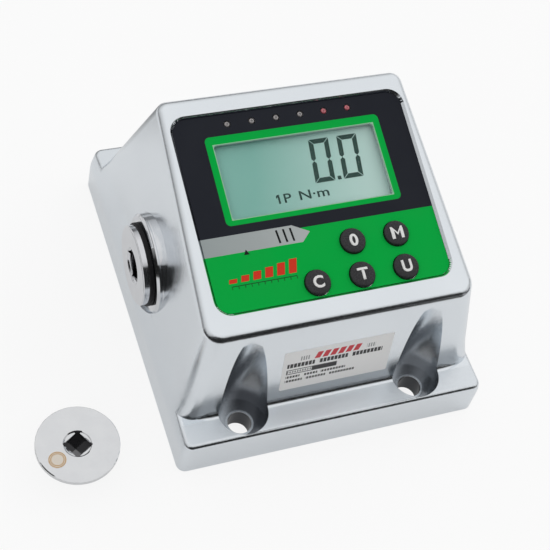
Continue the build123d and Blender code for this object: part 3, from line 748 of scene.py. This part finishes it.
def panel_frame(across, up, depth):
    """Place of a point on the panel, with Z out of the panel, in metres."""
    low = Vector((across, panel_low_y, panel_low_z))
    slope = Vector((0, cos(panel_tilt), sin(panel_tilt)))
    inward = Vector((0, sin(panel_tilt), -cos(panel_tilt)))
    place = (low + up * slope + depth * inward) * mm
    return Matrix.Translation(place) @ Matrix.Rotation(panel_tilt, 4, "X")


def settle(piece, place, body, finish):
    """Put a finished piece in its place, let it ride on a body and give it its finish."""
    select_only(piece)
    piece.matrix_world = place
    bpy.ops.object.transform_apply(location=True, rotation=True, scale=True)
    dress(piece, finish)
    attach(piece, body)


def thicken(piece, thickness):
    """Give a flat piece a thickness, out from its face."""
    select_only(piece)
    apply_modifier(piece, "SOLIDIFY", thickness=thickness, offset=1.0)


half_x, half_y = (size * mm for size in digit_half)
bar = bar_width * mm
gap = bar_gap * mm
bpy.ops.object.select_all(action="DESELECT")
bpy.ops.mesh.primitive_plane_add(size=1, location=(0, 0, 0))
nought = bpy.context.view_layer.objects.active
nought.name = "display_nought_left"
bpy.ops.object.mode_set(mode="EDIT")
bpy.ops.mesh.select_all(action="SELECT")
upright_length = half_y - gap - bar / 2
bpy.ops.transform.resize(value=(bar, upright_length, 1), center_override=(0, 0, 0))
bpy.ops.transform.translate(value=(half_x - bar / 2, half_y - upright_length / 2, 0))
bpy.ops.object.mode_set(mode="OBJECT")
pick(nought, lambda spot: spot.x < half_x - bar / 2 and spot.y > half_y / 2)
bpy.ops.transform.translate(value=(0, -bar, 0))
bpy.ops.object.mode_set(mode="OBJECT")
pick(nought, lambda spot: spot.y < half_y / 4)
bpy.ops.mesh.extrude_region_move(TRANSFORM_OT_translate={"value": (0, -bar / 2, 0)})
bpy.ops.mesh.merge(type="CENTER")
bpy.ops.mesh.select_all(action="SELECT")
bpy.ops.transform.translate(value=(0, -gap, 0))
bpy.ops.mesh.primitive_plane_add(size=1, location=(0, 0, 0))
bpy.ops.transform.resize(value=(half_x - gap, bar, 1), center_override=(0, 0, 0))
bpy.ops.transform.translate(value=((half_x - gap) / 2, half_y - bar / 2, 0))
bpy.ops.object.mode_set(mode="OBJECT")
bar_corner = Vector((half_x - gap, half_y - bar, 0))
pick(nought, lambda spot: (spot - bar_corner).length < bar / 50)
bpy.ops.transform.translate(value=(-bar, 0, 0))
bpy.ops.object.mode_set(mode="OBJECT")
apply_modifier(
    nought, "MIRROR", use_axis=(True, True, False), use_clip=False, merge_threshold=0.001 * mm
)
bpy.ops.object.mode_set(mode="EDIT")
bpy.ops.mesh.select_all(action="SELECT")
bpy.ops.mesh.normals_make_consistent(inside=False)
bpy.ops.object.mode_set(mode="OBJECT")
lean_over = Matrix(((1, digit_lean, 0, 0), (0, 1, 0, 0), (0, 0, 1, 0), (0, 0, 0, 1)))
nought.data.transform(lean_over)
thicken(nought, sign_thickness)
bpy.ops.object.duplicate()
second_nought = bpy.context.view_layer.objects.active
second_nought.name = "display_nought_right"
left_place = panel_frame(left_digit_x, digit_row, sign_depth)
right_place = panel_frame(right_digit_x, digit_row, sign_depth)
settle(nought, left_place, "tester", sign_finish)
settle(second_nought, right_place, "tester", sign_finish)

bpy.ops.object.select_all(action="DESELECT")
bpy.ops.mesh.primitive_plane_add(size=point_size, location=(0, 0, 0))
point = bpy.context.view_layer.objects.active
point.name = "display_point"
bpy.ops.object.mode_set(mode="EDIT")
bpy.ops.mesh.select_all(action="SELECT")
bpy.ops.mesh.bevel(offset=point_corner, segments=2, affect="VERTICES")
bpy.ops.object.mode_set(mode="OBJECT")
thicken(point, sign_thickness)
point_place = panel_frame(point_x, point_row, sign_depth)
settle(point, point_place, "tester", sign_finish)


drawn_size = 10 * mm


def lettering(characters, piece_name, width, height, boldness=0.0):
    """Flat letters as a mesh of a given width and height, centred on their place."""
    bpy.ops.object.select_all(action="DESELECT")
    bpy.ops.object.text_add(location=(0, 0, 0))
    letters = bpy.context.view_layer.objects.active
    letters.data.body = characters
    letters.data.size = drawn_size
    letters.data.offset = boldness
    bpy.ops.object.convert(target="MESH")
    letters = bpy.context.view_layer.objects.active
    letters.name = piece_name
    corners = [Vector(corner) for corner in letters.bound_box]
    low = Vector([min(corner[i] for corner in corners) for i in range(3)])
    high = Vector([max(corner[i] for corner in corners) for i in range(3)])
    bpy.ops.object.mode_set(mode="EDIT")
    bpy.ops.mesh.select_all(action="SELECT")
    bpy.ops.transform.translate(value=-(low + high) / 2)
    stretch = (width / (high.x - low.x), height / (high.y - low.y), 1)
    bpy.ops.transform.resize(value=stretch, center_override=(0, 0, 0))
    bpy.ops.object.mode_set(mode="OBJECT")
    return letters


sign_boldness = 0.10 * mm
flag_low = 1.1 * mm
flag_reach = (-0.75 * mm, -0.65 * mm, 0)
edge_reach = 0.1 * mm
annunciators = {
    "display_print_sign": ("1P", -12.4, 63.6, 6.8, 4.6),
    "display_unit_sign": ("N·m", 2.8, 63.8, 15.2, 4.6),
}
for piece_name, (characters, x, row, width, height) in annunciators.items():
    sign = lettering(characters, piece_name, width * mm, height * mm, sign_boldness)
    if characters[0] == "1":
        left_edge = -width / 2 * mm
        bpy.ops.object.mode_set(mode="EDIT")
        bpy.ops.mesh.select_all(action="SELECT")
        bpy.ops.mesh.bisect(plane_co=(0, flag_low, 0), plane_no=(0, 1, 0))
        flag_corner = (left_edge + edge_reach, flag_low - edge_reach)
        pick(sign, lambda spot: spot.x < flag_corner[0] and spot.y > flag_corner[1])
        bpy.ops.mesh.extrude_region_move(TRANSFORM_OT_translate={"value": flag_reach})
        bpy.ops.object.mode_set(mode="OBJECT")
    thicken(sign, sign_thickness)
    settle(sign, panel_frame(x, row, sign_depth), "tester", sign_finish)

# Indicator lights: six small round-nosed lights in a row, four clear and two red. The
# chip and its cup show through the nose as a dark spot in a pale ring.
led_first_x = -31.8
led_pitch = 12.5
led_row = 104.2
led_ring = (0.55, 1.25)


def light_finish(name, dark, pale):
    """Cast epoxy with the cup of the light showing as rings round each centre."""
    finish = Finish(name, Coat_Weight=0.6, Coat_Roughness=0.05)
    across, up = panel_axes(finish)
    step = ((across - (led_first_x - led_pitch / 2)) / led_pitch).fraction() - 0.5
    ring = (step * led_pitch).distance(up - led_row).between(*led_ring)
    haze = finish.noise(0.5 * mm)
    tint = finish.mix(ring, dark, pale)
    finish.feed("Base Color", finish.mix(haze * 0.25, tint, pale))
    finish.feed("Roughness", finish.spread(haze, 0.3, 0.7, 0.10, 0.22))
    return finish


clear_light_finish = light_finish("clear_epoxy_light", (0.07, 0.065, 0.065), (0.36, 0.34, 0.34))
red_light_finish = light_finish("red_epoxy_light", (0.26, 0.03, 0.04), (0.58, 0.16, 0.19))
smooth_copy("clear_leds", "clear_lights", clear_light_finish, angle=50)
smooth_copy("red_leds", "red_lights", red_light_finish, angle=50)

# Keys: domed caps moulded in glossy black plastic, with a white letter printed on the
# dome. Each letter is cut into strips and laid on the ball shape of its cap.
key_letters = {
    "clear": ("C", -9.1, 18.8, 5.4, 0.34),
    "track": ("T", 13.7, 18.8, 5.5, 0.34),
    "unit": ("U", 36.5, 18.8, 5.3, 0.34),
    "zero": ("0", 13.7, 35.9, 4.3, 0.34),
    "mode": ("M", 36.5, 35.9, 6.4, 0.0),
}
m_legs_reach = 2.5 * mm
m_notch_reach = 2.0 * mm
m_inside_height = 2.2 * mm
m_stroke = 0.70
m_notch_drop = -0.7 * mm
letter_height = 6.1
strips_each_way = 3
strip_width = 1 * mm
dome_radius = 22.5 * mm
dome_top_depth = -1.0
dome_centre_depth = dome_top_depth + dome_radius / mm
print_lift = 0.02 * mm
print_thickness = 0.03 * mm
cap_finish = mottled(
    "glossy_black_cap",
    dark=(0.012, 0.012, 0.014),
    light=(0.024, 0.024, 0.027),
    lump=0.9 * mm,
    roughness=(0.22, 0.32),
    depth=0.01 * mm,
    Specular_IOR_Level=0.35,
)
print_finish = mottled(
    "white_key_print",
    dark=(0.74, 0.74, 0.73),
    light=(0.84, 0.84, 0.83),
    lump=0.6 * mm,
    roughness=(0.40, 0.50),
)
for key_name, (letter, x, row, width, boldness) in key_letters.items():
    smooth_copy(f"key_{key_name}", f"cap_{key_name}", cap_finish, angle=20)
    print_name = f"letter_{key_name}"
    mark = lettering(letter, print_name, width * mm, letter_height * mm, boldness * mm)
    if letter == "M":
        pick(mark, lambda spot: abs(spot.x) < m_legs_reach and spot.y < m_inside_height)
        bpy.ops.transform.resize(value=(m_stroke, 1, 1), center_override=(0, 0, 0))
        bpy.ops.object.mode_set(mode="OBJECT")
        pick(mark, lambda spot: abs(spot.x) < m_notch_reach and abs(spot.y) < m_inside_height)
        bpy.ops.transform.translate(value=(0, m_notch_drop, 0))
        bpy.ops.object.mode_set(mode="OBJECT")
    bpy.ops.object.mode_set(mode="EDIT")
    for step in range(-strips_each_way, strips_each_way + 1):
        for normal in ((1, 0, 0), (0, 1, 0)):
            bpy.ops.mesh.select_all(action="SELECT")
            spot = [step * strip_width * part for part in normal]
            bpy.ops.mesh.bisect(plane_co=spot, plane_no=normal)
    bpy.ops.mesh.select_all(action="SELECT")
    bpy.ops.transform.translate(value=(0, 0, dome_radius))
    bpy.ops.object.mode_set(mode="OBJECT")
    apply_modifier(mark, "CAST", factor=1.0, size=dome_radius + print_lift)
    thicken(mark, print_thickness)
    place = panel_frame(x, row, dome_centre_depth)
    settle(mark, place, f"{key_name}_key", print_finish)

# Key stems and switches: each cap presses the plunger of a square tactile switch that is
# soldered to the board.
stem_finish = mottled(
    "moulded_stem_plastic",
    dark=(0.30, 0.30, 0.29),
    light=(0.38, 0.38, 0.37),
    lump=1 * mm,
    roughness=(0.35, 0.50),
)
for key_name in key_letters:
    dress(nodes[f"plunger_{key_name}"], stem_finish)
switch_finish = mottled(
    "moulded_switch_case",
    dark=(0.020, 0.020, 0.020),
    light=(0.045, 0.045, 0.045),
    lump=1 * mm,
    roughness=(0.40, 0.55),
    depth=0.02 * mm,
)
dress(nodes["key_switches"], switch_finish)

# Circuit board: glass and resin under green lacquer, with copper tracks that show as
# lighter lines. It hangs on four posts of the panel plate.
track_pitch = 1.5
track_share = 0.28
board_finish = Finish("lacquered_board")
across, up = panel_axes(board_finish)
region = board_finish.noise(9 * mm, detail=0)
level_tracks = ((up / track_pitch).fraction() < track_share) * (region > 0.52)
upright_tracks = ((across / track_pitch).fraction() < track_share) * (region < 0.46)
tracks = level_tracks.highest(upright_tracks)
board_finish.feed("Base Color", board_finish.mix(tracks, (0.010, 0.130, 0.045), (0.03, 0.24, 0.09)))
board_finish.feed("Roughness", board_finish.spread(region, 0.3, 0.7, 0.26, 0.38))
board_finish.bump(tracks, 0.2, 0.04 * mm)
dress(nodes["main_board"], board_finish)

# On the board: zinc plated screws that hold it to its posts, the moulded chips, two white
# sockets for the leads and a round black buzzer.
zinc_finish = mottled(
    "zinc_plated_steel",
    dark=(0.55, 0.56, 0.56),
    light=(0.70, 0.71, 0.70),
    lump=1.4 * mm,
    roughness=(0.22, 0.36),
    depth=0.01 * mm,
    metallic=1.0,
)
smooth_copy("board_screws", "post_screws", zinc_finish)
chip_finish = mottled(
    "moulded_chip_case",
    dark=(0.022, 0.022, 0.024),
    light=(0.040, 0.040, 0.042),
    lump=0.5 * mm,
    roughness=(0.50, 0.65),
    depth=0.02 * mm,
)
dress(nodes["board_chips"], chip_finish)
dress(nodes["board_connectors"], holder_finish)
buzzer_finish = mottled(
    "moulded_buzzer_case",
    dark=(0.015, 0.015, 0.015),
    light=(0.030, 0.030, 0.030),
    lump=1 * mm,
    roughness=(0.35, 0.50),
    depth=0.02 * mm,
)
smooth_copy("buzzer", "round_buzzer", buzzer_finish)

# Rating label: white coated paper, stuck on the front face and printed with plain bars.
# A row of red slanted bars at its head stands between two small groups of grey marks.
label_middle_z = 45.3
face_lean = 13.4 / 77
label_half = (28.4, 13.7)
stripe_span = (16.6, 39.6)
stripe_rows = (3.2, 7.6)
stripe_middle_row = 5.4
stripe_pitch = 4.0
stripe_share = 0.72
stripe_lean = 0.35
left_marks = (8.7, 13.6)
right_marks = (43.0, 47.6)
side_mark_rows = (4.3, 7.2)
side_mark_pitch = 1.25
side_mark_share = 0.55
title_words = ((2.3, 16.4), (18.6, 33.6), (36.0, 51.8))
box_span = (2.3, 28.4)
box_rows = (12.9, 16.2)
inside_span = (2.8, 15.4)
inside_rows = (13.4, 15.7)
number_rows = (13.9, 15.2)
number_pitch = 1.3
number_share = 0.6
upper_note_words = ((2.3, 9.6), (11.8, 18.8), (20.4, 33.4))
lower_note_words = ((2.3, 11.2), (12.9, 23.4), (25.2, 38.6))
label_ink = (0.018, 0.018, 0.020)
label_grey = (0.22, 0.22, 0.23)
label_red = (0.62, 0.025, 0.040)
label_finish = Finish("printed_label_paper")
across, deep, high = label_finish.axes()
right = across + label_half[0]
down = label_half[1] - (high - label_middle_z) * (1 + face_lean**2) ** 0.5
slanted = right + (down - stripe_middle_row) * stripe_lean
in_stripes = ((slanted - stripe_span[0]) / stripe_pitch).fraction() < stripe_share
in_stripes = in_stripes * slanted.between(*stripe_span) * down.between(*stripe_rows)
in_marks = right.between(*left_marks).highest(right.between(*right_marks))
in_marks = in_marks * down.between(*side_mark_rows)
in_marks = in_marks * ((right / side_mark_pitch).fraction() < side_mark_share)


def print_row(high_edge, low_edge, words, stroke, share):
    """Bars of print between two heights, one for each span in words, with thin gaps."""
    words_mask = right.between(*words[0])
    for word in words[1:]:
        words_mask = words_mask.highest(right.between(*word))
    return words_mask * down.between(high_edge, low_edge) * ((right / stroke).fraction() < share)


title = print_row(8.6, 11.5, title_words, stroke=1.9, share=0.80)
box_edge = right.between(*box_span) * down.between(*box_rows)
box_inside = right.between(*inside_span) * down.between(*inside_rows)
box_print = box_inside * down.between(*number_rows)
box_print = box_print * ((right / number_pitch).fraction() < number_share)
upper_note = print_row(17.4, 19.0, upper_note_words, stroke=1.5, share=0.70)
lower_note = print_row(20.4, 22.0, lower_note_words, stroke=1.5, share=0.70)
notes = upper_note.highest(lower_note)
paper = label_finish.mix(label_finish.noise(0.4 * mm), (0.86, 0.86, 0.86), (0.90, 0.90, 0.90))
printed = label_finish.mix(in_stripes, paper, label_red)
printed = label_finish.mix(in_marks * 0.8, printed, label_grey)
printed = label_finish.mix(title.highest(notes), printed, label_ink)
printed = label_finish.mix(box_edge, printed, label_ink)
printed = label_finish.mix(box_inside, printed, paper)
printed = label_finish.mix(box_print, printed, label_grey)
label_finish.feed("Base Color", printed)
coating = label_finish.noise(1.2 * mm)
label_finish.feed("Roughness", label_finish.spread(coating, 0.3, 0.7, 0.30, 0.42))
dress(nodes["rating_label"], label_finish)

# Base cover: a flat alloy plate that closes the underside, held by six countersunk
# screws, with an opening for the batteries.
cover_finish = mottled(
    "brushed_cover_alloy",
    dark=(0.50, 0.51, 0.52),
    light=(0.60, 0.61, 0.62),
    lump=2.2 * mm,
    roughness=(0.34, 0.46),
    depth=0.03 * mm,
    metallic=0.9,
)
dress(nodes["base_cover"], cover_finish)
smooth_copy("cover_screws", "countersunk_screws", zinc_finish)

# Battery bay: a black moulded tray with four cells side by side, contact tabs and
# springs at its ends, and a flat door held by two slotted screws.
tray_finish = mottled(
    "moulded_tray_plastic",
    dark=(0.020, 0.020, 0.021),
    light=(0.040, 0.040, 0.042),
    lump=1.4 * mm,
    roughness=(0.40, 0.55),
    depth=0.03 * mm,
)
dress(nodes["battery_holder"], tray_finish)
cell_end = 24.2
cell_band_start = 16.5
cell_finish = Finish("printed_cell_jacket", Metallic=0.3)
across, deep, high = cell_finish.axes()
on_end = abs(deep) > cell_end
on_band = abs(deep).between(cell_band_start, cell_end)
scuff = cell_finish.noise(1.5 * mm, detail=3)
jacket = cell_finish.mix(on_band, (0.55, 0.56, 0.58), (0.04, 0.12, 0.36))
jacket = cell_finish.mix(on_end, jacket, (0.62, 0.62, 0.61))
cell_finish.feed("Base Color", cell_finish.mix(scuff * 0.12, jacket, (0.75, 0.75, 0.75)))
cell_finish.feed("Roughness", cell_finish.spread(scuff, 0.3, 0.7, 0.24, 0.36))
smooth_copy("battery_cells", "jacketed_cells", cell_finish)
nickel_finish = mottled(
    "nickel_contact_strip",
    dark=(0.60, 0.58, 0.54),
    light=(0.74, 0.72, 0.68),
    lump=1 * mm,
    roughness=(0.20, 0.34),
    depth=0.01 * mm,
    metallic=1.0,
)
smooth_copy("battery_contacts", "contact_strips", nickel_finish)
door_finish = mottled(
    "grained_door_plastic",
    dark=(0.022, 0.022, 0.023),
    light=(0.042, 0.042, 0.044),
    lump=0.8 * mm,
    roughness=(0.45, 0.60),
    depth=0.05 * mm,
)
dress(nodes["battery_door"], door_finish)
smooth_copy("door_screws", "slotted_screws", zinc_finish)

# Leads inside the housing: a grey shielded lead from the gauges and a red and black pair
# from the batteries, both plugged into the board.
grey_lead_finish = mottled(
    "grey_lead_jacket",
    dark=(0.22, 0.22, 0.23),
    light=(0.30, 0.30, 0.31),
    lump=1.2 * mm,
    roughness=(0.40, 0.55),
    depth=0.02 * mm,
)
smooth_copy("sensor_cable", "gauge_lead", grey_lead_finish, angle=50)
red_lead_finish = Finish("red_and_black_lead_jacket")
across, deep, high = red_lead_finish.axes()
red_side = across > middle_of("battery_cable").x
rubbed = red_lead_finish.noise(1.2 * mm)
red_lead_finish.feed("Base Color", red_lead_finish.mix(red_side, (0.02, 0.02, 0.02), (0.45, 0.02, 0.02)))
red_lead_finish.feed("Roughness", red_lead_finish.spread(rubbed, 0.3, 0.7, 0.38, 0.52))
smooth_copy("battery_cable", "battery_lead", red_lead_finish, angle=50)

# Stage: a white table with dark mats that only mirrors see, a soft grey studio with a dark
# belt at its horizon that rises in front and thins out elsewhere, and two soft lamps, one
# from each side, that mirrors don't see.
table_width = 6
table_white = (0.8, 0.8, 0.8)
table_shown = 0.86
table_mirrored = 0.35
mat_black = (0.02, 0.02, 0.02)
front_mat_edges = (-190, -300)
rear_mat_x = -90
rear_mat_y = 330
rear_mat_edges_x = (60, 100)
rear_mat_edges_y = (150, 210)

bpy.ops.object.select_all(action="DESELECT")
bpy.ops.mesh.primitive_plane_add(size=table_width, location=(0, 0, 0))
table = bpy.context.view_layer.objects.active
table.name = "table_top"
table_finish = Finish("white_table", Roughness=0.9)
glow = table_finish.node("ShaderNodeEmission", {}, {})
camera_ray = table_finish.node("ShaderNodeLightPath", {}, {}, "Is Camera Ray")
mirror_ray = table_finish.node("ShaderNodeLightPath", {}, {}, "Is Glossy Ray")
clear_ray = table_finish.node("ShaderNodeLightPath", {}, {}, "Is Transmission Ray")
across, deep, high = table_finish.axes()
front_mat = table_finish.spread(deep, *front_mat_edges, 0, 1)
rear_mat = table_finish.spread(abs(deep - rear_mat_y), *rear_mat_edges_y, 1, 0)
rear_mat = rear_mat * table_finish.spread(abs(across - rear_mat_x), *rear_mat_edges_x, 0.8, 0)
mirrored_dark = mirror_ray * front_mat.highest(rear_mat)
table_finish.feed("Base Color", table_finish.mix(mirrored_dark, table_white, mat_black))
table_glow = mirror_ray * table_mirrored * (1 - mirrored_dark)
shown = (camera_ray.highest(clear_ray) * table_shown).highest(table_glow)
painted = Wire(table_finish, table_finish.shader.outputs[0])
table_look = table_finish.node("ShaderNodeMixShader", {}, (shown, painted, glow))
table_end = table_finish.tree.nodes["Material Output"]
table_finish.tree.links.new(table_look.socket, table_end.inputs["Surface"])
dress(table, table_finish)

studio_strength = 0.95
belt_edges = (0.36, 0.46)
belt_grey = 0.02
wall_grey = 0.60
ceiling_gain = 0.38
front_reach = (-0.75, -0.45)
front_rise = 0.36
front_growth = 0.12
right_reach = (0.26, 0.60)
right_thinning = 0.34
back_reach = (0.1, 0.5)
back_thinning = 0.18
left_light = 0.34
back_light = 0.25
back_gap_x = 0.21

world = bpy.data.worlds.new("studio")
bpy.context.scene.world = world
world.use_nodes = True
world_tree = world.node_tree


class Sky(Finish):
    """The node helpers of a finish, at work in the world."""

    def __init__(self, node_tree):
        self.tree = node_tree


sky = Sky(world_tree)
studio = world_tree.nodes["Background"]
to_right, to_back, to_top = sky.split(sky.node("ShaderNodeTexCoord", {}, {}, "Generated"))
belt_rise = sky.spread(to_back, *front_reach, front_rise, 0)
belt_thinning = sky.spread(to_right, *right_reach, 0, right_thinning)
belt_thinning = belt_thinning + sky.spread(to_back, *back_reach, 0, back_thinning)
belt_thinning = belt_thinning - sky.spread(to_back, *front_reach, front_growth, 0)
from_belt = abs(to_top - belt_rise) + belt_thinning
left_fill = sky.spread(to_right, 0.15, -0.25, 0, left_light)
left_fill = left_fill * sky.spread(to_back, -0.1, 0.2, 0, 1)
back_fill = sky.spread(to_back, 0.3, 0.9, 0, back_light)
back_fill = back_fill * sky.spread(abs(to_right - back_gap_x), 0.06, 0.12, 0, 1)
belt_edge = sky.spread(from_belt, *belt_edges, belt_grey, wall_grey)
upper_light = sky.spread(from_belt, belt_edges[1], 1.0, 0, ceiling_gain)
brightness = (belt_edge + upper_light).highest(left_fill).highest(back_fill)
world_tree.links.new(brightness.socket, studio.inputs["Color"])
studio.inputs["Strength"].default_value = studio_strength
backdrop = sky.node("ShaderNodeBackground", {}, {"Color": (1, 1, 1, 1)})
camera_ray = sky.node("ShaderNodeLightPath", {}, {}, "Is Camera Ray")
grey_room = Wire(sky, studio.outputs[0])
surround = sky.node("ShaderNodeMixShader", {}, (camera_ray, grey_room, backdrop))
world_tree.links.new(surround.socket, world_tree.nodes["World Output"].inputs["Surface"])

lamps = {
    "right_lamp": ((1.15, 0.35, 0.60), 1.4, 5.5),
    "left_lamp": ((-0.75, -0.95, 0.70), 1.3, 4),
}
lamp_aim = Vector((0, 0, 0.05))
for lamp_name, (lamp_place, lamp_size, lamp_power) in lamps.items():
    bpy.ops.object.light_add(type="AREA", location=lamp_place)
    lamp = bpy.context.view_layer.objects.active
    lamp.name = lamp_name
    lamp.data.size = lamp_size
    lamp.data.energy = lamp_power
    lamp.visible_glossy = False
    toward = lamp_aim - Vector(lamp_place)
    lamp.rotation_euler = toward.to_track_quat("-Z", "Y").to_euler()

# Camera: above the front left corner and rolled a little, as held in the hand. Its place
# and turn come from the straight edges of the housing in the photograph.
camera_place = Vector((-0.22193, -0.35119, 0.58199))
camera_right = Vector((0.93470, -0.31262, 0.16912))
camera_up = Vector((0.16783, 0.80762, 0.56532))
camera_lens = 87.1
sensor_width = 36
bpy.ops.object.camera_add(location=camera_place)
camera = bpy.context.view_layer.objects.active
back = camera_right.cross(camera_up)
turn = Matrix((camera_right, camera_up, back)).transposed()
camera.rotation_euler = turn.to_euler()
camera.data.lens = camera_lens
camera.data.sensor_width = sensor_width
bpy.context.scene.camera = camera
bpy.context.scene.view_settings.view_transform = "Standard"
